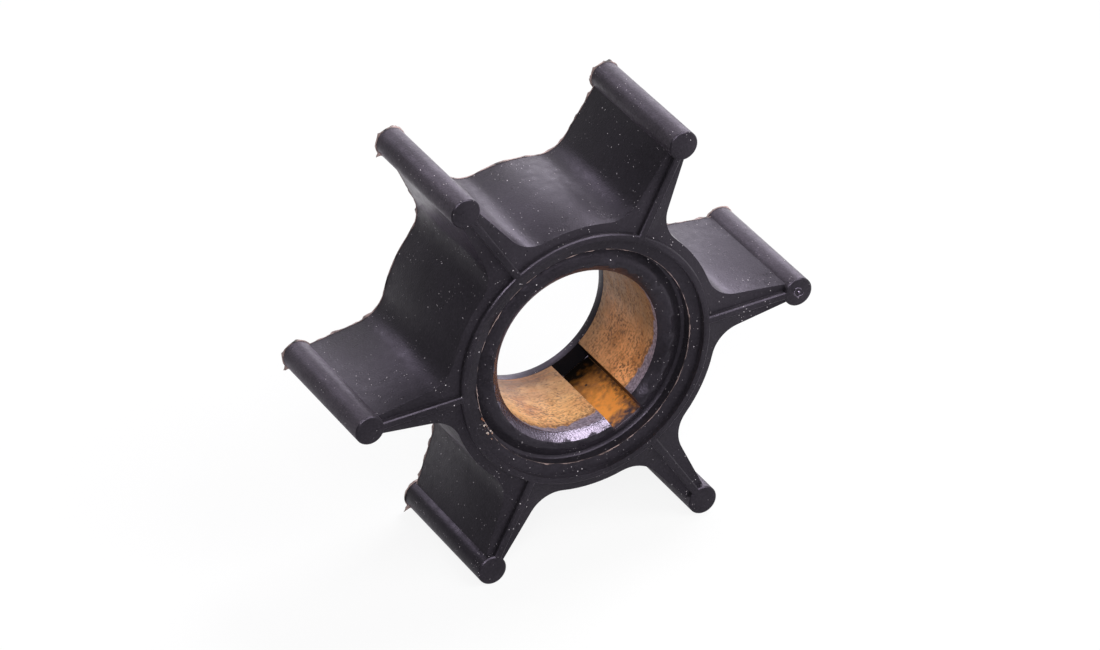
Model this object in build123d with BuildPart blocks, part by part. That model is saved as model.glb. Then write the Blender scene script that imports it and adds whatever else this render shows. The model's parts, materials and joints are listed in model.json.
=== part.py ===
"""Flexible vane impeller for a raw water pump: a black rubber star moulded round a bronze bush.

The shaft axis is Y, with the origin on the axis at the middle of the width.
The front end face, the one whose lip the keyway cuts through, looks along -Y.
One vane points along +X, and the impeller stands on the two vanes that point down (-Z).
"""

import os

from build123d import *

# Overall sizes, in millimetres
tip_diameter = 57.0  # over the bulbs of opposite vanes
width = 18.7  # between the raised end faces
vane_count = 6

# Vanes: a straight taper from the hub to a round bulb that wipes the pump housing
bulb_diameter = 3.5
vane_tip_thickness = 2.0  # at the bulb's centre
vane_root_thickness = 4.8  # at the hub's surface
root_fillet = 4.0

# Hub, and the relief on each end face
hub_diameter = 33.2
relief_depth = 0.65  # from the raised ring, ribs and bulb ends down to the vane's end face
ring_outer_diameter = 31.0
ring_inner_diameter = 29.4
rib_width = 0.9
edge_break = 0.15

# Recess inside the ring: a flat ledge, a groove, and a lip round the bore
ledge_depth = 0.85
groove_diameter = 26.6
groove_depth = 2.5
groove_break = 0.4
lip_diameter = 22.2
lip_depth = 1.3
lip_break = 0.25
funnel_depth = 2.35  # down the inside of the lip to the bore

# Bush, with its keyway
bore_diameter = 20.0
bush_outer_diameter = 26.4
bush_chamfer = 0.9
back_cover = 1.15  # rubber bore left behind the bush, which closes the keyway there
keyway_width = 4.0
keyway_depth = 2.2
keyway_angle = -62.5  # about the shaft axis, from +X towards +Z

# Places worked out from the sizes above
bulb_centre_radius = (tip_diameter - bulb_diameter) / 2
end_y = width / 2
vane_end_y = end_y - relief_depth
bush_front_y = funnel_depth - end_y
bush_back_y = end_y - funnel_depth - back_cover
bush_length = bush_back_y - bush_front_y
bush_middle_y = (bush_front_y + bush_back_y) / 2
keyway_floor = bore_diameter / 2 + keyway_depth
vane_taper = (vane_root_thickness - vane_tip_thickness) / (bulb_centre_radius - hub_diameter / 2)
vane_axis_thickness = vane_tip_thickness + vane_taper * bulb_centre_radius

os.makedirs("parts", exist_ok=True)


# The keyway as seen along the shaft: a slot from the axis out to the keyway's flat floor.
with BuildSketch() as keyway_slot:
    with PolarLocations(0, 1, start_angle=keyway_angle):
        Rectangle(keyway_floor, keyway_width, align=(Align.MIN, Align.CENTER))


# The outside of the bush, which is also the seat that the rubber forms round it.
with BuildPart() as bush_blank:
    with BuildSketch(Plane.XZ.offset(-bush_middle_y)):
        Circle(bush_outer_diameter / 2)
    extrude(amount=bush_length / 2, both=True)
    chamfer(bush_blank.edges().filter_by(GeomType.CIRCLE), length=bush_chamfer)

# The bush is turned from bar, chamfered on its outer corners so that the rubber wraps them,
# and broached with one keyway from end to end.
with BuildPart() as bronze_bush:
    add(bush_blank.part)
    with BuildSketch(Plane.XZ):
        Circle(bore_diameter / 2)
        add(keyway_slot.sketch)
    extrude(amount=end_y, both=True, mode=Mode.SUBTRACT)

# One vane as seen along the shaft, from the axis out to the bulb's centre.
with BuildSketch() as vane_sides:
    with BuildLine():
        Polyline(
            (0, -vane_axis_thickness / 2),
            (bulb_centre_radius, -vane_tip_thickness / 2),
            (bulb_centre_radius, vane_tip_thickness / 2),
            (0, vane_axis_thickness / 2),
            close=True,
        )
    make_face()

# The rubber is one moulding. First the star: the hub and its tapering vanes, with large root fillets
# that carry the bending, stop short of the end faces.
with BuildPart() as rubber_impeller:
    with BuildSketch(Plane.XZ) as star:
        Circle(hub_diameter / 2)
        with PolarLocations(0, vane_count):
            add(vane_sides.sketch)
        vane_roots = star.vertices().filter_by(lambda v: abs(Vector(v.X, v.Y).length - hub_diameter / 2) < 0.01)
        fillet(vane_roots, radius=root_fillet)
    extrude(amount=vane_end_y, both=True)

    # Bulbs, ribs and ring reach the full width as one raised network on both end faces.
    with BuildSketch(Plane.XZ) as network:
        Circle(ring_outer_diameter / 2)
        with PolarLocations(0, vane_count):
            Rectangle(bulb_centre_radius, rib_width, align=(Align.MIN, Align.CENTER))
        with PolarLocations(bulb_centre_radius, vane_count):
            Circle(bulb_diameter / 2)
    extrude(amount=end_y, both=True)
    for end_face in (rubber_impeller.faces().sort_by(Axis.Y)[0], rubber_impeller.faces().sort_by(Axis.Y)[-1]):
        chamfer(end_face.edges(), length=edge_break)

    # Each end is hollowed inside the ring: a ledge, then a groove that leaves a lip round the bore,
    # and a funnel from the lip down to the bore.
    with BuildSketch(Plane.XY) as end_hollow:
        with BuildLine():
            Polyline(
                (0, end_y),
                (ring_inner_diameter / 2, end_y),
                (ring_inner_diameter / 2, end_y - ledge_depth),
                (groove_diameter / 2, end_y - ledge_depth),
                (groove_diameter / 2, end_y - groove_depth),
                (lip_diameter / 2, end_y - lip_depth),
                (bore_diameter / 2, end_y - funnel_depth),
                (0, end_y - funnel_depth),
                close=True,
            )
        make_face()
        lip = end_hollow.vertices().filter_by(lambda v: abs(v.X - lip_diameter / 2) < 0.01)
        chamfer(lip, length=lip_break)
        groove_foot = end_hollow.vertices().filter_by(lambda v: abs(v.X - groove_diameter / 2) < 0.01)
        chamfer(groove_foot.sort_by(Axis.Y)[0], length=groove_break)
        mirror(about=Plane.XZ)
    revolve(axis=Axis.Y, mode=Mode.SUBTRACT)

    # Bore, and the seat round the bush.
    with BuildSketch(Plane.XZ):
        Circle(bore_diameter / 2)
    extrude(amount=end_y, both=True, mode=Mode.SUBTRACT)
    add(bush_blank.part, mode=Mode.SUBTRACT)

    # The keyway is broached through the front lip only: the rubber closes its far end.
    with BuildSketch(Plane.XZ.offset(-bush_front_y)):
        add(keyway_slot.sketch)
    extrude(amount=funnel_depth, mode=Mode.SUBTRACT)

rubber_impeller.part.label = "rubber_impeller"
bronze_bush.part.label = "bronze_bush"
export_step(rubber_impeller.part, "parts/rubber_impeller.step")
export_step(bronze_bush.part, "parts/bronze_bush.step")
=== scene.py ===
import json
import math

import bpy
from mathutils import Euler, Matrix, Vector, noise

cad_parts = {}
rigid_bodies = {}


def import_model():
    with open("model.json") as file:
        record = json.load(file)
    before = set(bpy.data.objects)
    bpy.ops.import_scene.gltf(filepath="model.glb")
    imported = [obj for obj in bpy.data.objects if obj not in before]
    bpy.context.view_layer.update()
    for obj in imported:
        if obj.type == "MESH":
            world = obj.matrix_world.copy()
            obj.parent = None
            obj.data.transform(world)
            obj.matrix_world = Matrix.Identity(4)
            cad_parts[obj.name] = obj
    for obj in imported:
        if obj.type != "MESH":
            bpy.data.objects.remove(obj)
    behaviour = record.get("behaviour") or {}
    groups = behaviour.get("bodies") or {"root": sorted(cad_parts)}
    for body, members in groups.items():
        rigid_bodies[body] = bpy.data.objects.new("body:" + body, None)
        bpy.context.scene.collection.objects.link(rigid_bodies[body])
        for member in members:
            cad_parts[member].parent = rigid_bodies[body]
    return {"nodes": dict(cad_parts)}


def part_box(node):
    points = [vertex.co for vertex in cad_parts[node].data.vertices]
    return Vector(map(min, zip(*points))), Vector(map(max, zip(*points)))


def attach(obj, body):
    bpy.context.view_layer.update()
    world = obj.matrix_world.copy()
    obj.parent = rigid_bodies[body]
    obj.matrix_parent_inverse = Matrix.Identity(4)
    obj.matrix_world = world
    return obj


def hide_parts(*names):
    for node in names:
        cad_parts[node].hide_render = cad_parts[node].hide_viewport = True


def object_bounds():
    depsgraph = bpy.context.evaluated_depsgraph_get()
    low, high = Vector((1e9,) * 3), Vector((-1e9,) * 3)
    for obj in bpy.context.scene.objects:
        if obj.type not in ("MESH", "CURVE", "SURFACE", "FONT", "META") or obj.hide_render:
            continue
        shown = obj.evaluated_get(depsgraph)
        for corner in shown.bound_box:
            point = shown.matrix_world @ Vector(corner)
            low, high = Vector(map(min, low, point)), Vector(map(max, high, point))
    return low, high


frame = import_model()
cad_low, cad_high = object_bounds()
bpy.ops.object.select_all(action="DESELECT")


# Bush: a bronze sleeve turned from bar, with its outer corners chamfered so that the rubber grips it,
# bored for the shaft and broached with one keyway. The bore is tarnished brown and stained,
# with a dull violet-grey band at its front mouth, and the keyway's newer cut is a bright orange.
# Painted shade greys the bore towards its back and top and darkens its far back on the left, and it
# darkens the keyway's walls, its right corner and its closed back.
MM = 0.001
bush_low, bush_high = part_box("bronze_bush")
bush_edge_round = 0.08 * MM
corner_turn = 40
bore_radius = 10.0 * MM
tarnish_band_width = 0.5 * MM
tarnish_beside_keyway = 1.1 * MM
keyway_turn = math.radians(-62.5)
keyway_width = 4.0 * MM
keyway_depth = 2.2 * MM
keyway_out = Vector((math.cos(keyway_turn), 0, math.sin(keyway_turn)))
keyway_across = Vector((-keyway_out.z, 0, keyway_out.x))
keyway_mouth = math.sqrt(bore_radius ** 2 - (keyway_width / 2) ** 2)
near = 0.1 * MM
bronze_metal_share = 0.3
bronze_tan = (0.88, 0.50, 0.20, 1)
bronze_salmon = (1.0, 0.46, 0.18, 1)
bronze_orange = (1.0, 0.38, 0.055, 1)
bronze_brown = (0.50, 0.19, 0.052, 1)
bronze_umber_stain_and_shade = (0.16, 0.075, 0.035, 1)
bronze_shade_grey = (0.22, 0.145, 0.075, 1)
bronze_stain_and_shade = (0.060, 0.030, 0.016, 1)
bronze_shade_black = (0.006, 0.004, 0.003, 1)
violet_tarnish = (0.34, 0.28, 0.35, 1)
violet_shadow = (0.13, 0.105, 0.14, 1)
keyway_tarnish = (0.060, 0.042, 0.052, 1)


def copy_of_node(node, name):
    """A copy of a CAD node's mesh with its loose triangles merged and its flat faces made whole."""
    same_place = 0.002 * MM
    flat_within = math.radians(0.5)
    piece = bpy.data.objects.new(name, frame["nodes"][node].data.copy())
    bpy.context.scene.collection.objects.link(piece)
    bpy.ops.object.select_all(action="DESELECT")
    piece.select_set(True)
    bpy.context.view_layer.objects.active = piece
    piece.data.materials.clear()
    bpy.ops.object.mode_set(mode="EDIT")
    bpy.ops.mesh.select_all(action="SELECT")
    bpy.ops.mesh.remove_doubles(threshold=same_place)
    bpy.ops.mesh.dissolve_limited(angle_limit=flat_within)
    bpy.ops.object.mode_set(mode="OBJECT")
    return piece


def round_edges(piece, width, sharper_than):
    """Small rounds on every edge that turns by more than sharper_than degrees."""
    smooth_under = math.radians(35)
    edge_round = piece.modifiers.new("edge_round", "BEVEL")
    edge_round.width = width
    edge_round.segments = 2
    edge_round.limit_method = "ANGLE"
    edge_round.angle_limit = math.radians(sharper_than)
    bpy.ops.object.modifier_apply(modifier="edge_round")
    bpy.ops.object.shade_smooth_by_angle(angle=smooth_under)


def new_finish(name):
    """A new material, with its node tree, its shader and the place that its patterns read."""
    finish = bpy.data.materials.new(name)
    finish.use_nodes = True
    tree = finish.node_tree
    place = tree.nodes.new("ShaderNodeTexCoord").outputs["Object"]
    return finish, tree, tree.nodes["Principled BSDF"], place


def axes_of(tree, place):
    """The place's distances along "X", "Y" and "Z"."""
    node = tree.nodes.new("ShaderNodeSeparateXYZ")
    tree.links.new(place, node.inputs["Vector"])
    return node.outputs


def towards(tree, place, direction):
    """How far the place lies in the direction, in metres."""
    node = tree.nodes.new("ShaderNodeVectorMath")
    node.operation = "DOT_PRODUCT"
    node.inputs[1].default_value = direction
    tree.links.new(place, node.inputs[0])
    return node.outputs["Value"]


def stretched(tree, place, stretch):
    """The place with each axis shrunk by its stretch, so that a pattern read there is drawn out."""
    node = tree.nodes.new("ShaderNodeMapping")
    node.inputs["Scale"].default_value = tuple(1 / axis for axis in stretch)
    tree.links.new(place, node.inputs["Vector"])
    return node.outputs["Vector"]


def scaled(tree, value, start, end, low=0.0, high=1.0):
    """The value taken from start..end to low..high, and clamped there."""
    node = tree.nodes.new("ShaderNodeMapRange")
    node.inputs["From Min"].default_value = start
    node.inputs["From Max"].default_value = end
    node.inputs["To Min"].default_value = low
    node.inputs["To Max"].default_value = high
    tree.links.new(value, node.inputs["Value"])
    return node.outputs["Result"]


def combined(tree, operation, first, second):
    """Two values put through one sum; the second may be a plain number."""
    node = tree.nodes.new("ShaderNodeMath")
    node.operation = operation
    tree.links.new(first, node.inputs[0])
    if isinstance(second, (int, float)):
        node.inputs[1].default_value = second
    else:
        tree.links.new(second, node.inputs[1])
    return node.outputs["Value"]


def mixed(tree, share, first, second):
    """A colour between first and second; each may be a plain colour or another mix."""
    node = tree.nodes.new("ShaderNodeMix")
    node.data_type = "RGBA"
    tree.links.new(share, node.inputs[0])
    for socket, colour in ((node.inputs[6], first), (node.inputs[7], second)):
        if isinstance(colour, tuple):
            socket.default_value = colour
        else:
            tree.links.new(colour, socket)
    return node.outputs[2]


def cloud(tree, place, size, detail):
    """Cloudy noise from 0 to 1, in lumps about size across."""
    node = tree.nodes.new("ShaderNodeTexNoise")
    node.inputs["Scale"].default_value = 1 / size
    node.inputs["Detail"].default_value = detail
    tree.links.new(place, node.inputs["Vector"])
    return node.outputs["Fac"]


def patches(tree, place, size, detail, thin, full, low=0.0, high=1.0):
    """Patches about size across: low where the cloud is under thin, and high where it is over full."""
    return scaled(tree, cloud(tree, place, size, detail), thin, full, low, high)


def wander(tree, place, size, detail, swing, middle=0.0):
    """A value that drifts by swing to both sides of middle, over lumps about size across."""
    return patches(tree, place, size, detail, thin=0.3, full=0.7, low=middle - swing, high=middle + swing)


def specks(tree, place, spacing, radius, share):
    """Round specks of mixed sizes: 1 in a speck and 0 elsewhere, in a share of cells spacing across."""
    soft_rim = 0.25 * radius
    cells = tree.nodes.new("ShaderNodeTexVoronoi")
    cells.inputs["Scale"].default_value = 1 / spacing
    tree.links.new(place, cells.inputs["Vector"])
    draws = tree.nodes.new("ShaderNodeSeparateColor")
    tree.links.new(cells.outputs["Color"], draws.inputs["Color"])
    size = scaled(tree, draws.outputs["Red"], 1 - share, 1.0, high=radius / spacing)
    inside = combined(tree, "SUBTRACT", size, cells.outputs["Distance"])
    return scaled(tree, inside, 0.0, soft_rim / spacing)


def add_bump(tree, shader, height, depth):
    """The height pattern pressed into the surface, depth metres deep."""
    node = tree.nodes.new("ShaderNodeBump")
    node.inputs["Strength"].default_value = 1.0
    node.inputs["Distance"].default_value = depth
    tree.links.new(height, node.inputs["Height"])
    tree.links.new(node.outputs["Normal"], shader.inputs["Normal"])


def front_band(tree, place, width, wobble, fade):
    """1 at the front end of the bore, falling to 0 over fade metres past an uneven edge width metres in.

    The band is wider beside the keyway.
    """
    uneven = wander(tree, place, size=1.6 * MM, detail=5.0, swing=wobble)
    edge = combined(tree, "ADD", axes_of(tree, place)["Y"], uneven)
    beside_keyway = scaled(tree, towards(tree, place, keyway_out), 0.6 * bore_radius, 0.98 * bore_radius,
                           high=tarnish_beside_keyway)
    edge = combined(tree, "SUBTRACT", edge, beside_keyway)
    return scaled(tree, edge, bush_low.y + width, bush_low.y + width + fade, low=1.0, high=0.0)


def bore_finish():
    """Tan bronze, browned in patches, with painted shade that greys it at its back and top and darkens its
    far back on the left, and with turning marks and stains.
    """
    finish, tree, shader, place = new_finish("tarnished_bronze")
    axes = axes_of(tree, place)
    depth = combined(tree, "ADD", axes["Y"], wander(tree, place, size=2.0 * MM, detail=5.0, swing=1.0 * MM))

    right_side = scaled(tree, axes["X"], 2 * MM, 7 * MM)
    colour = mixed(tree, right_side, bronze_tan, bronze_salmon)
    browned = patches(tree, place, size=2.6 * MM, detail=6.0, thin=0.44, full=0.72, high=0.9)
    colour = mixed(tree, browned, colour, bronze_brown)
    # Painted shade: the bore turns darker grey towards its back and its top.
    bore_back_shade = scaled(tree, depth, bush_low.y + 4 * MM, bush_high.y, high=0.75)
    bore_top_shade = scaled(tree, axes["Z"], -6.5 * MM, -0.5 * MM, high=0.85)
    colour = mixed(tree, combined(tree, "MAXIMUM", bore_back_shade, bore_top_shade), colour, bronze_shade_grey)
    # Painted shade: the far back of the bore on its left is darkened to umber.
    left_side = scaled(tree, axes["X"], 0.0, 4 * MM, low=1.0, high=0.0)
    far_back_shade = scaled(tree, depth, bush_high.y - 3.4 * MM, bush_high.y - 1.2 * MM, high=0.85)
    colour = mixed(tree, combined(tree, "MULTIPLY", left_side, far_back_shade), colour, bronze_umber_stain_and_shade)

    ring_place = stretched(tree, place, (12, 1, 12))
    turning_rings = patches(tree, ring_place, size=0.3 * MM, detail=3.0, thin=0.45, full=0.75, high=0.5)
    colour = mixed(tree, turning_rings, colour, bronze_brown)
    crowding = patches(tree, place, size=3.0 * MM, detail=3.0, thin=0.38, full=0.60, low=0.15, high=0.75)
    crowding = combined(tree, "ADD", crowding, scaled(tree, axes["X"], 0.0, 8 * MM, high=0.2))
    mottles = patches(tree, place, size=0.32 * MM, detail=9.0, thin=0.45, full=0.64)
    colour = mixed(tree, combined(tree, "MULTIPLY", mottles, crowding), colour, bronze_umber_stain_and_shade)
    blots = patches(tree, place, size=0.5 * MM, detail=7.0, thin=0.60, full=0.68, high=0.6)
    colour = mixed(tree, blots, colour, bronze_stain_and_shade)

    band_edge = front_band(tree, place, width=2.0 * tarnish_band_width, wobble=0.6 * MM, fade=0.5 * MM)
    broken_up = patches(tree, place, size=0.35 * MM, detail=4.0, thin=0.42, full=0.58, low=0.1, high=0.8)
    colour = mixed(tree, combined(tree, "MULTIPLY", band_edge, broken_up), colour, bronze_umber_stain_and_shade)
    band = front_band(tree, place, width=tarnish_band_width, wobble=0.45 * MM, fade=0.25 * MM)
    shadows = patches(tree, place, size=0.3 * MM, detail=5.0, thin=0.35, full=0.65)
    colour = mixed(tree, band, colour, mixed(tree, shadows, violet_tarnish, violet_shadow))

    tree.links.new(colour, shader.inputs["Base Color"])
    shader.inputs["Metallic"].default_value = bronze_metal_share
    dull = wander(tree, place, size=1.2 * MM, detail=4.0, swing=0.10, middle=0.52)
    tree.links.new(dull, shader.inputs["Roughness"])
    add_bump(tree, shader, cloud(tree, place, size=0.25 * MM, detail=3.0), depth=0.03 * MM)
    return finish


def keyway_finish(name, clean_colour, back_shade_reach, corner_shade_strength):
    """The broached cut: painted shade along its right corner and at its closed back, and tarnish at its
    front.
    """
    finish, tree, shader, place = new_finish(name)
    across = combined(tree, "ADD", towards(tree, place, keyway_across),
                      wander(tree, place, size=0.5 * MM, detail=6.0, swing=0.9 * MM))
    depth = combined(tree, "ADD", axes_of(tree, place)["Y"],
                     wander(tree, place, size=0.8 * MM, detail=6.0, swing=1.1 * MM))

    browned = patches(tree, place, size=0.9 * MM, detail=7.0, thin=0.48, full=0.80)
    colour = mixed(tree, browned, clean_colour, bronze_brown)
    # Painted shade along the keyway's right corner.
    corner_shade = scaled(tree, across, 0.9 * MM, 2.2 * MM, high=corner_shade_strength)
    colour = mixed(tree, corner_shade, colour, bronze_stain_and_shade)
    spots = specks(tree, place, spacing=1.3 * MM, radius=0.22 * MM, share=0.3)
    colour = mixed(tree, spots, colour, bronze_umber_stain_and_shade)
    front = scaled(tree, depth, bush_low.y + 0.4 * MM, bush_low.y + 2.6 * MM, low=1.0, high=0.0)
    colour = mixed(tree, front, colour, keyway_tarnish)
    # Painted shade, near black, towards the keyway's closed back.
    keyway_back_shade = scaled(tree, depth, bush_high.y - back_shade_reach, bush_high.y - 0.15 * back_shade_reach)
    colour = mixed(tree, keyway_back_shade, colour, bronze_shade_black)

    tree.links.new(colour, shader.inputs["Base Color"])
    shader.inputs["Metallic"].default_value = bronze_metal_share
    shader.inputs["Roughness"].default_value = 0.50
    shader.inputs["Specular IOR Level"].default_value = 0.25
    add_bump(tree, shader, cloud(tree, place, size=0.3 * MM, detail=3.0), depth=0.04 * MM)
    return finish


bush = copy_of_node("bronze_bush", "bronze_sleeve")
round_edges(bush, bush_edge_round, corner_turn)
bush.data.materials.append(bore_finish())
bush.data.materials.append(
    keyway_finish("broached_floor", bronze_orange, back_shade_reach=7.5 * MM, corner_shade_strength=0.85))
# The keyway's side walls take dark umber as painted shade, with more painted shade at the closed back.
bush.data.materials.append(
    keyway_finish("shaded_broached_wall", bronze_umber_stain_and_shade, back_shade_reach=12.0 * MM, corner_shade_strength=0.9))
for face in bush.data.polygons:
    reach = face.center.dot(keyway_out)
    in_keyway = keyway_mouth - near < reach < bore_radius + keyway_depth + near
    between_walls = abs(face.center.dot(keyway_across)) < keyway_width / 2 - near
    if in_keyway and between_walls and face.normal.dot(keyway_out) < -0.99:
        face.material_index = 1
    if in_keyway and abs(face.normal.dot(keyway_across)) > 0.9:
        face.material_index = 2
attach(bush, "root")
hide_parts("bronze_bush")


# Rubber moulding: the hub and its six vanes, moulded in one piece in black nitrile rubber round the bush.
# The skin is satin with a dusty violet-grey bloom. The bulbs, all but the lower left one, are lighter:
# partly scuffed where they rub in the pump, partly painted light. The rubber that closes the keyway is
# painted shade-black, and the skin is glossy on the funnels' lower left, which formed on the polished core
# pin.
rubber_edge_round = 0.07 * MM
funnel_radius = 11.1 * MM
polished_turn = math.radians(232)
polished_half_arc = math.radians(67.7)
bulb_radius = 1.75 * MM
bulb_place = cad_high.x - bulb_radius
scuffed_and_lit_above = -8 * MM
rubber_black = (0.0065, 0.0060, 0.0070, 1)
rubber_bloom = (0.0200, 0.0178, 0.0220, 1)
scuffed_and_lit_black = (0.0260, 0.0230, 0.0270, 1)
scuffed_and_lit_bloom = (0.0680, 0.0590, 0.0720, 1)
dust_white = (0.80, 0.74, 0.78, 1)
lilac_shine = (0.88, 0.75, 1.0, 1)
lilac_sheen = (0.85, 0.62, 1.0, 1)


def rubber_finish(name, black, bloom, dust, roughness, spread, shine, density, pebble, wave):
    """Rubber with a cloudy bloom, grains of dust in drifts and heaps, and a pebbled and waving skin."""
    finish, tree, shader, place = new_finish(name)
    broad = patches(tree, place, size=8.0 * MM, detail=3.0, thin=0.35, full=0.65, high=0.5)
    fine = patches(tree, place, size=0.30 * MM, detail=4.0, thin=0.36, full=0.66, high=0.5)
    colour = mixed(tree, combined(tree, "ADD", broad, fine), black, bloom)

    small_grains = specks(tree, place, spacing=0.55 * MM, radius=0.09 * MM, share=0.55)
    large_grains = specks(tree, place, spacing=2.0 * MM, radius=0.15 * MM, share=0.40)
    grains = combined(tree, "MAXIMUM", small_grains, large_grains)
    heaps = patches(tree, place, size=2.4 * MM, detail=2.0, thin=0.52, full=0.62)
    heaped_grains = specks(tree, place, spacing=0.3 * MM, radius=0.075 * MM, share=0.6)
    grains = combined(tree, "MAXIMUM", grains, combined(tree, "MULTIPLY", heaped_grains, heaps))
    scratch_place = stretched(tree, place, (1.0, 7.0, 1.0))
    scratches = specks(tree, scratch_place, spacing=0.9 * MM, radius=0.04 * MM, share=0.3)
    grains = combined(tree, "MAXIMUM", grains, combined(tree, "MULTIPLY", scratches, 0.5))
    drift = patches(tree, place, size=4.0 * MM, detail=2.0, thin=0.40, full=0.62, low=0.25)
    dusty = combined(tree, "MULTIPLY", combined(tree, "MULTIPLY", grains, drift), dust)
    colour = mixed(tree, dusty, colour, dust_white)
    tree.links.new(colour, shader.inputs["Base Color"])

    uneven = wander(tree, place, size=0.9 * MM, detail=4.0, swing=spread, middle=roughness)
    tree.links.new(uneven, shader.inputs["Roughness"])
    shader.inputs["Specular IOR Level"].default_value = shine
    shader.inputs["IOR"].default_value = density
    shader.inputs["Specular Tint"].default_value = lilac_shine
    shader.inputs["Sheen Weight"].default_value = 0.07
    shader.inputs["Sheen Roughness"].default_value = 0.30
    shader.inputs["Sheen Tint"].default_value = lilac_sheen

    pebbles = combined(tree, "MULTIPLY", cloud(tree, place, size=0.2 * MM, detail=2.0), pebble)
    waves = combined(tree, "MULTIPLY", cloud(tree, place, size=2.6 * MM, detail=1.0), wave)
    height = combined(tree, "ADD", pebbles, waves)
    height = combined(tree, "ADD", height, combined(tree, "MULTIPLY", grains, 0.8))
    add_bump(tree, shader, height, depth=0.05 * MM)
    return finish


rubber = copy_of_node("rubber_impeller", "rubber_moulding")
round_edges(rubber, rubber_edge_round, corner_turn)
for finish in (
    rubber_finish("black_rubber", rubber_black, rubber_bloom, dust=0.9, roughness=0.34, spread=0.07,
                  shine=0.46, density=1.5, pebble=0.45, wave=0.8),
    rubber_finish("pin_polished_rubber", rubber_black, rubber_bloom, dust=0.2, roughness=0.24, spread=0.06,
                  shine=1.0, density=1.95, pebble=1.1, wave=0.0),
    # Painted shade: dull black rubber without bloom or dust, for the wall that closes the keyway.
    rubber_finish("shade_black_rubber", rubber_black, rubber_black, dust=0.0, roughness=0.80, spread=0.05,
                  shine=0.05, density=1.5, pebble=0.3, wave=0.5),
    # The bulbs' lighter skin: partly real scuffing, partly painted light.
    rubber_finish("scuffed_and_lit_rubber", scuffed_and_lit_black, scuffed_and_lit_bloom, dust=0.9, roughness=0.42, spread=0.08,
                  shine=0.46, density=1.5, pebble=0.6, wave=0.8),
):
    rubber.data.materials.append(finish)
polished_side = Vector((math.cos(polished_turn), 0, math.sin(polished_turn)))
for face in rubber.data.polygons:
    reach = math.hypot(face.center.x, face.center.z)
    slopes = 0.5 < abs(face.normal.y) < 0.86
    looks_in = face.normal.x * face.center.x + face.normal.z * face.center.z < 0
    lower_left = face.center.dot(polished_side) > math.cos(polished_half_arc) * reach
    if bore_radius < reach < funnel_radius and slopes and looks_in and lower_left:
        face.material_index = 1
    # Painted light: every bulb but the lower left one gets the lighter, partly scuffed skin.
    on_bulb = reach > bulb_place - 0.8 * bulb_radius and abs(face.normal.y) < 0.5
    if on_bulb and (face.center.x > 0 or face.center.z > scuffed_and_lit_above):
        face.material_index = 3
    # Painted shade: the rubber wall that closes the keyway's back is made shade-black.
    faces_forward = abs(face.center.y - bush_high.y) < 2 * near and face.normal.y < -0.9
    if faces_forward and reach < bore_radius + keyway_depth + 3 * near:
        face.material_index = 2
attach(rubber, "root")
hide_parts("rubber_impeller")


# Mould flash: the thin ragged skin of rubber that squeezed out between the mould's halves. It stands
# along the back edges of the vanes and hub, where it was never trimmed, and carries a brown dust.
backward = Vector((0, 1, 0))
vane_end = 8.7 * MM
vane_count = 6
vane_turns = [math.radians(360 / vane_count * number) for number in range(vane_count)]
ring_radius = 15.5 * MM
rib_half_width = 0.9 * MM
same_level = 0.02 * MM
short_edge = 0.02 * MM
long_edge = 1.0 * MM
long_edge_cuts = 20
flash_thickness = 0.05 * MM
flash_black = (0.022, 0.017, 0.018, 1)
flash_dust = (0.36, 0.26, 0.25, 1)


def flash_finish():
    """Dull black rubber, brown with dust in patches."""
    finish, tree, shader, place = new_finish("dusty_flash")
    dusty = patches(tree, place, size=1.5 * MM, detail=4.0, thin=0.34, full=0.56)
    tree.links.new(mixed(tree, dusty, flash_black, flash_dust), shader.inputs["Base Color"])
    shader.inputs["Roughness"].default_value = 0.5
    shader.inputs["Specular IOR Level"].default_value = 0.4
    add_bump(tree, shader, cloud(tree, place, size=0.2 * MM, detail=2.0), depth=0.03 * MM)
    return finish


def select_edges(piece, wanted):
    """Selects the edges whose two ends pass the test, with those ends, and nothing else."""
    for face in piece.data.polygons:
        face.select = False
    for point in piece.data.vertices:
        point.select = False
    for edge in piece.data.edges:
        start, end = [piece.data.vertices[number] for number in edge.vertices]
        edge.select = wanted(start.co, end.co)
        if edge.select:
            start.select = True
            end.select = True


def on_back_outline(start, end):
    """True for an edge of the star's own outline in its back end face, away from ring, ribs and bulbs."""
    clear_of_ring = 0.5 * MM
    middle = (start + end) / 2
    in_end_face = abs(start.y - end.y) < same_level and abs(middle.y - vane_end) < same_level
    outside_ring = math.hypot(middle.x, middle.z) > ring_radius + clear_of_ring
    from_rib = min(abs(middle.z * math.cos(turn) - middle.x * math.sin(turn)) for turn in vane_turns)
    from_bulb = min(
        math.hypot(middle.x - bulb_place * math.cos(turn), middle.z - bulb_place * math.sin(turn))
        for turn in vane_turns)
    return in_end_face and outside_ring and from_rib >= rib_half_width and from_bulb >= bulb_radius


def is_long(start, end):
    """True for a long straight edge, which needs cutting up before it can be ragged."""
    return (start - end).length > long_edge


def draw_out(piece, along, low, high, patch, start, lean=0.0):
    """The selected edges drawn out into a fin whose height wanders between low and high, patch by patch.

    It curls a little in and out, and leans outwards by lean times its height.
    """
    curl = 0.25
    bpy.ops.object.mode_set(mode="EDIT")
    bpy.ops.mesh.extrude_edges_move()
    bpy.ops.object.mode_set(mode="OBJECT")
    for point in piece.data.vertices:
        if point.select:
            broad = noise.noise(point.co / patch + Vector((start, 0, 0)))
            fine = noise.noise(point.co / (0.3 * patch) + Vector((0, start, 0)))
            ripple = 0.5 + 0.75 * broad + 0.35 * fine
            outward = Vector((point.co.x, 0, point.co.z)).normalized()
            rise = low + (high - low) * min(max(ripple, 0), 1) ** 2
            point.co += along * rise + outward * rise * (lean + curl * math.sin(9 * ripple))


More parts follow.
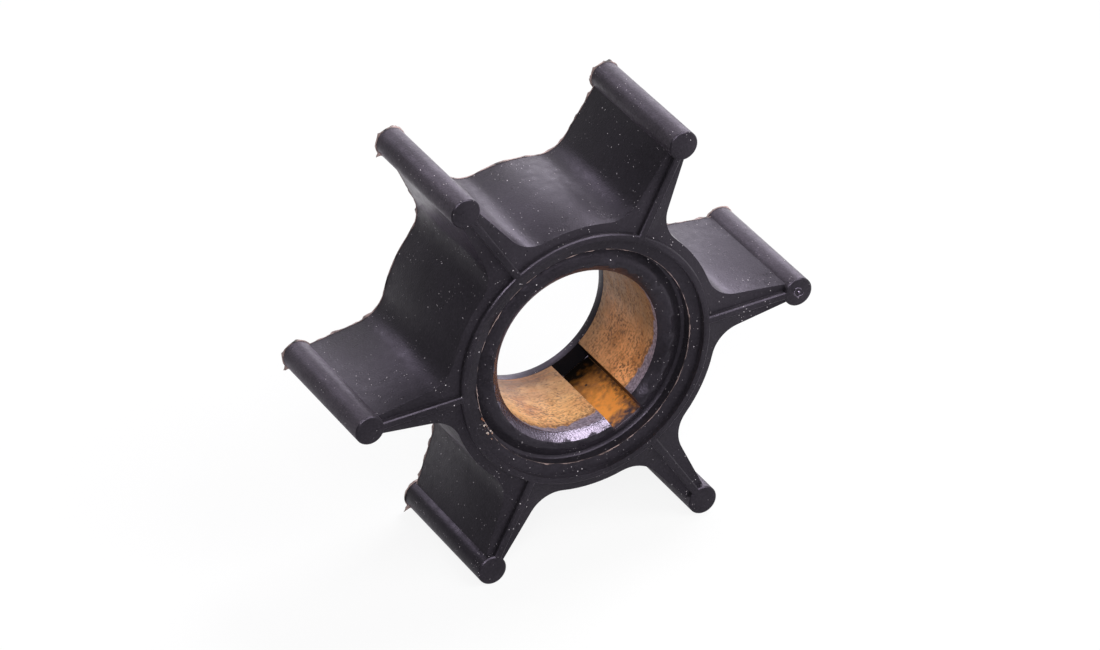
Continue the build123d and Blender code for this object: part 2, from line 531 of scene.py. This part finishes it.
def thicken(piece, thickness):
    """The open fin given its thickness, its dusty finish and its place on the impeller."""
    smooth_under = math.radians(40)
    skin = piece.modifiers.new("skin", "SOLIDIFY")
    skin.thickness = thickness
    skin.offset = 0
    bpy.ops.object.modifier_apply(modifier="skin")
    bpy.ops.object.mode_set(mode="EDIT")
    bpy.ops.mesh.select_all(action="SELECT")
    bpy.ops.mesh.normals_make_consistent(inside=False)
    bpy.ops.object.mode_set(mode="OBJECT")
    bpy.ops.object.shade_smooth_by_angle(angle=smooth_under)
    piece.data.materials.append(dusty_flash)
    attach(piece, "root")


dusty_flash = flash_finish()
back_flash = copy_of_node("rubber_impeller", "back_edge_flash")
select_edges(back_flash, on_back_outline)
bpy.ops.object.mode_set(mode="EDIT")
bpy.ops.mesh.select_mode(type="EDGE")
bpy.ops.mesh.select_all(action="INVERT")
bpy.ops.mesh.delete(type="EDGE")
bpy.ops.mesh.select_all(action="SELECT")
bpy.ops.mesh.remove_doubles(threshold=short_edge)
bpy.ops.object.mode_set(mode="OBJECT")
select_edges(back_flash, is_long)
bpy.ops.object.mode_set(mode="EDIT")
bpy.ops.mesh.subdivide(number_cuts=long_edge_cuts)
bpy.ops.mesh.select_all(action="SELECT")
bpy.ops.object.mode_set(mode="OBJECT")
draw_out(back_flash, along=backward, low=0.06 * MM, high=0.42 * MM, patch=1.1 * MM, start=3.0, lean=0.3)
thicken(back_flash, flash_thickness)


# Bulb burrs: a ring of the same flash round the back end of each bulb, pressed out of the mould's seam
# and spread a little over the bulb's edge. It is thicker than the flash along the vanes.
burr_thickness = 1.4 * flash_thickness
burr_root_depth = 0.2 * MM
burr_spread = 0.10 * MM


def bulb_burr(number):
    """The burr on the bulb of the vane with this number, counted from 0."""
    turn = vane_turns[number]
    centre = (bulb_place * math.cos(turn), cad_high.y - burr_root_depth, bulb_place * math.sin(turn))
    bpy.ops.object.select_all(action="DESELECT")
    bpy.ops.mesh.primitive_circle_add(vertices=48, radius=bulb_radius, location=centre,
                                      rotation=(math.pi / 2, 0, 0))
    burr = bpy.context.object
    burr.name = f"bulb_burr_{number + 1}"
    bpy.ops.object.transform_apply(location=True, rotation=True, scale=True)
    draw_out(burr, along=backward, low=0.05 * MM, high=0.45 * MM, patch=0.9 * MM, start=5.0 + number)
    for point in burr.data.vertices:
        if point.select:
            away = Vector((point.co.x - centre[0], 0, point.co.z - centre[2]))
            point.co += away.normalized() * burr_spread
    thicken(burr, burr_thickness)


for number in range(vane_count):
    bulb_burr(number)


# Torn tags: on three of the left vanes the flash was torn off instead of trimmed, which left a short
# tapering tag of rubber on the bulb's back end.
tag_root_depth = 0.35 * MM


def torn_tag(name, number, side, length, width):
    """A tag of rubber standing off the bulb of the vane with this number, on the given side of the bulb."""
    taper = 0.55
    lumpiness = 0.35
    lump_size = 0.45 * width
    turn = vane_turns[number]
    outward = Vector((math.cos(side), 0, math.sin(side)))
    root = Vector((bulb_place * math.cos(turn), cad_high.y - tag_root_depth, bulb_place * math.sin(turn)))
    root += outward * bulb_radius
    bpy.ops.object.select_all(action="DESELECT")
    bpy.ops.mesh.primitive_ico_sphere_add(subdivisions=3, radius=width, location=root)
    tag = bpy.context.object
    tag.name = name
    bpy.ops.object.transform_apply(location=True, rotation=True, scale=True)
    for point in tag.data.vertices:
        offset = point.co - root
        out = offset.dot(outward)
        along = max(out / width, 0)
        lump = 1 + lumpiness * noise.noise(offset / lump_size + Vector((number, 0, 0)))
        narrow = 1 - taper * along
        across = offset - outward * out
        point.co = root + across * narrow * lump + outward * (out + along ** 2 * length) * lump
    bpy.ops.object.shade_smooth()
    tag.data.materials.append(dusty_flash)
    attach(tag, "root")


torn_tag("torn_tag_left", number=3, side=math.radians(214), length=0.25 * MM, width=0.30 * MM)
torn_tag("torn_tag_upper", number=2, side=math.radians(212), length=0.30 * MM, width=0.26 * MM)
torn_tag("torn_tag_lower", number=4, side=math.radians(216), length=0.55 * MM, width=0.30 * MM)


# Vent mark: on the front end of one bulb, where the mould let its air out, a shallow rim
# with a glossy nub of rubber in the middle.
vent_rim_radius = 0.55 * MM
vent_rim_half_width = 0.07 * MM
vent_nub_radius = 0.2 * MM
vent_lump_size = 0.5 * MM
vent_lumpiness = 0.5
vent_flatness = 0.8
vent_centre = Vector((bulb_place, cad_low.y, 0))
bpy.ops.object.select_all(action="DESELECT")
bpy.ops.mesh.primitive_torus_add(major_segments=40, minor_segments=10, major_radius=vent_rim_radius,
                                 minor_radius=vent_rim_half_width, location=vent_centre,
                                 rotation=(math.pi / 2, 0, 0))
vent_mark = bpy.context.object
vent_mark.name = "vent_mark"
bpy.ops.object.transform_apply(location=True, rotation=True, scale=True)
bpy.ops.mesh.primitive_ico_sphere_add(subdivisions=3, radius=vent_nub_radius, location=vent_centre)
bpy.ops.object.transform_apply(location=True, rotation=True, scale=True)
vent_mark.select_set(True)
bpy.context.view_layer.objects.active = vent_mark
bpy.ops.object.join()
for point in vent_mark.data.vertices:
    offset = point.co - vent_centre
    offset *= 1 + vent_lumpiness * noise.noise(offset / vent_lump_size)
    point.co = vent_centre + Vector((offset.x, vent_flatness * offset.y, offset.z))
bpy.ops.object.shade_smooth()
vent_mark.data.materials.append(bpy.data.materials["pin_polished_rubber"])
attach(vent_mark, "root")


# Groove burr: torn flash of the same rubber, left standing on the rim between the front ledge and its
# groove, where two parts of the mould met.
rim_radius = 13.3 * MM
ledge_level = cad_low.y + 0.85 * MM
groove_burr_root_depth = 0.06 * MM
bpy.ops.object.select_all(action="DESELECT")
bpy.ops.mesh.primitive_circle_add(vertices=260, radius=rim_radius,
                                  location=(0, ledge_level + groove_burr_root_depth, 0),
                                  rotation=(math.pi / 2, 0, 0))
groove_burr = bpy.context.object
groove_burr.name = "groove_burr"
bpy.ops.object.transform_apply(location=True, rotation=True, scale=True)
draw_out(groove_burr, along=-backward, low=0.0, high=0.26 * MM, patch=1.6 * MM, start=11.0)
thicken(groove_burr, flash_thickness)


# Crumbs: dried salt and rust, white and red-brown, left by the water that went through the pump. They
# are lodged against the rim of the groove on its left side.
salt_white = (0.50, 0.41, 0.37, 1)
rust_brown = (0.20, 0.075, 0.040, 1)
crumb_count = 14
first_crumb_turn = 196
crumb_turn_step = 0.9
crumb_turn_scatter = 1.5
crumb_gap = 0.12 * MM
crumb_gap_scatter = 0.22 * MM
crumb_size = 0.075 * MM
crumb_size_scatter = 0.045 * MM
crumb_shape = (1.6, 0.8, 1.0)


def crumbs_finish():
    """Dull salt with rust in it."""
    finish, tree, shader, place = new_finish("dried_crumbs")
    rusty = patches(tree, place, size=0.4 * MM, detail=2.0, thin=0.46, full=0.54)
    tree.links.new(mixed(tree, rusty, salt_white, rust_brown), shader.inputs["Base Color"])
    shader.inputs["Roughness"].default_value = 0.8
    return finish


bpy.ops.object.select_all(action="DESELECT")
for number in range(crumb_count):
    scattered = crumb_turn_scatter * math.sin(5 * number)
    turn = math.radians(first_crumb_turn + crumb_turn_step * number + scattered)
    reach = rim_radius + crumb_gap + crumb_gap_scatter * math.sin(3 * number)
    crumb_radius = crumb_size + crumb_size_scatter * math.sin(7 * number)
    bpy.ops.mesh.primitive_ico_sphere_add(
        subdivisions=1,
        radius=crumb_radius,
        location=(reach * math.cos(turn), ledge_level - 0.5 * crumb_radius, reach * math.sin(turn)),
        rotation=(number, 2 * number, 0),
        scale=crumb_shape,
    )
    bpy.context.object.name = f"crumb_{number}"
for piece in bpy.data.objects:
    piece.select_set(piece.name.startswith("crumb_"))
bpy.ops.object.join()
crumbs = bpy.context.object
crumbs.name = "groove_crumbs"
bpy.ops.object.transform_apply(location=True, rotation=True, scale=True)
crumbs.data.materials.append(crumbs_finish())
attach(crumbs, "root")


# Table: a wide sheet of white paper under the two lowest vanes. The camera sees it evenly white, while
# rubber and bronze mirror it dimmer in front and on the left, and brighter behind and on the right.
table_half_size = 3.0
paper_white = (0.8, 0.8, 0.8, 1)


def seen_share(tree, straight, mirrored):
    """straight for the rays that look at a background, also through glass, and mirrored for glossy ones."""
    rays = tree.nodes.new("ShaderNodeLightPath")
    looks = combined(tree, "MAXIMUM", rays.outputs["Is Camera Ray"], rays.outputs["Is Transmission Ray"])
    looks = combined(tree, "MULTIPLY", looks, straight)
    return combined(tree, "ADD", looks, combined(tree, "MULTIPLY", rays.outputs["Is Glossy Ray"], mirrored))


def paper_finish():
    """Matt paper with an even glow mixed in, so that it fades into the room without a line."""
    finish, tree, shader, place = new_finish("white_paper")
    axes = axes_of(tree, place)
    left = scaled(tree, axes["X"], -60 * MM, -20 * MM, low=0.30, high=0.40)
    right = scaled(tree, axes["X"], 34 * MM, 46 * MM, high=0.42)
    behind = combined(tree, "MULTIPLY", scaled(tree, axes["X"], -45 * MM, -20 * MM),
                      scaled(tree, axes["Y"], 25 * MM, 50 * MM, high=0.6))
    in_front = scaled(tree, axes["Y"], -65 * MM, -28 * MM, low=-0.15, high=0.0)
    mirrored = combined(tree, "ADD", left, right)
    mirrored = combined(tree, "ADD", mirrored, behind)
    mirrored = combined(tree, "ADD", mirrored, in_front)
    glow = tree.nodes.new("ShaderNodeEmission")
    tree.links.new(seen_share(tree, straight=1.0, mirrored=mirrored), glow.inputs["Strength"])
    blend = tree.nodes.new("ShaderNodeMixShader")
    tree.links.new(seen_share(tree, straight=0.88, mirrored=0.95), blend.inputs["Fac"])
    tree.links.new(shader.outputs["BSDF"], blend.inputs[1])
    tree.links.new(glow.outputs["Emission"], blend.inputs[2])
    tree.links.new(blend.outputs["Shader"], tree.nodes["Material Output"].inputs["Surface"])
    shader.inputs["Base Color"].default_value = paper_white
    shader.inputs["Roughness"].default_value = 0.9
    shader.inputs["Specular IOR Level"].default_value = 0.0
    return finish


bpy.ops.object.select_all(action="DESELECT")
bpy.ops.mesh.primitive_plane_add(size=2 * table_half_size, location=(0, 0, cad_low.z))
table = bpy.context.object
table.name = "white_table"
bpy.ops.object.transform_apply(location=True, rotation=True, scale=True)
table.data.materials.append(paper_finish())


# Room: plain white walls. The camera sees them fully lit, while rubber and bronze mirror them darker
# in front and on the left. They throw no light on the impeller, which the lamps do.
room = bpy.data.worlds.new("white_room")
room.use_nodes = True
bpy.context.scene.world = room
room_tree = room.node_tree
room_light = room_tree.nodes["Background"]
room_light.inputs["Color"].default_value = (1, 1, 1, 1)
room_axes = axes_of(room_tree, room_tree.nodes.new("ShaderNodeTexCoord").outputs["Generated"])
room_depth = scaled(room_tree, room_axes["Y"], -0.9, 0.3, low=0.10, high=0.34)
room_left = scaled(room_tree, room_axes["X"], -0.8, 0.0, low=0.65, high=1.0)
room_right = scaled(room_tree, room_axes["X"], 0.0, 0.9, high=0.5)
room_mirrored = combined(room_tree, "MULTIPLY", room_depth, room_left)
room_mirrored = combined(room_tree, "ADD", room_mirrored, room_right)
room_strength = seen_share(room_tree, straight=1.0, mirrored=room_mirrored)
room_tree.links.new(room_strength, room_light.inputs["Strength"])


# Lamps: eight soft boxes, all the same way off. The strong ones hang over the impeller, in front of it
# on both sides and above its right, and the weak lilac ones behind it edge the vanes with light.
lamp_distance = 0.9
white_light = (1, 1, 1)
pale_lilac = (0.93, 0.87, 1.0)


def add_soft_box(name, direction, size, power, colour):
    """A soft box that hangs in the direction, seen from the impeller, and faces it."""
    lamp = bpy.data.lights.new(name, "AREA")
    lamp.color = colour
    lamp.shape = "RECTANGLE"
    lamp.size, lamp.size_y = size
    lamp.energy = power
    soft_box = bpy.data.objects.new(name, lamp)
    bpy.context.scene.collection.objects.link(soft_box)
    facing = Vector(direction).normalized()
    soft_box.location = facing * lamp_distance
    soft_box.rotation_euler = facing.to_track_quat("Z", "Y").to_euler()


add_soft_box("front_right_box", (0.45, -0.50, 0.72), size=(0.5, 0.5), power=4.2, colour=white_light)
add_soft_box("front_top_box", (0.15, -0.70, 0.70), size=(0.45, 0.45), power=1.2, colour=white_light)
add_soft_box("front_left_box", (-0.35, -0.72, 0.60), size=(0.3, 0.3), power=4.6, colour=white_light)
add_soft_box("top_right_box", (0.55, 0.20, 0.80), size=(0.3, 0.3), power=5.0, colour=white_light)
add_soft_box("side_right_box", (0.75, 0.45, 0.45), size=(0.4, 0.4), power=1.4, colour=pale_lilac)
add_soft_box("rear_right_box", (0.62, 0.70, 0.35), size=(0.6, 0.5), power=1.6, colour=pale_lilac)
add_soft_box("rear_top_box", (0.08, 0.75, 0.66), size=(0.4, 0.4), power=0.50, colour=pale_lilac)
add_soft_box("rear_left_box", (-0.20, 0.77, 0.60), size=(0.36, 0.36), power=0.80, colour=pale_lilac)


# Camera: a long lens in front, to the left of the shaft axis and above it, rolled a little. It looks
# a touch to the side of the impeller's middle.
camera_azimuth = math.radians(-25.389)
camera_elevation = math.radians(31.584)
camera_roll = math.radians(-3.844)
camera_distance = 723.715 * MM
view_centre_right = 0.162 * MM
view_centre_up = -0.203 * MM
sensor_width = 36
focal_length = 212.18
nearest_seen = 0.01

camera_data = bpy.data.cameras.new("long_lens")
camera_data.sensor_width = sensor_width
camera_data.lens = focal_length
camera_data.clip_start = nearest_seen
camera = bpy.data.objects.new("long_lens", camera_data)
bpy.context.scene.collection.objects.link(camera)
level_turn = Euler((math.pi / 2 - camera_elevation, 0, camera_azimuth)).to_matrix()
camera_turn = level_turn @ Matrix.Rotation(camera_roll, 3, "Z")
camera_place = camera_turn @ Vector((view_centre_right, view_centre_up, camera_distance))
camera.matrix_world = Matrix.Translation(camera_place) @ camera_turn.to_4x4()
bpy.context.scene.camera = camera
bpy.context.scene.view_settings.view_transform = "Standard"
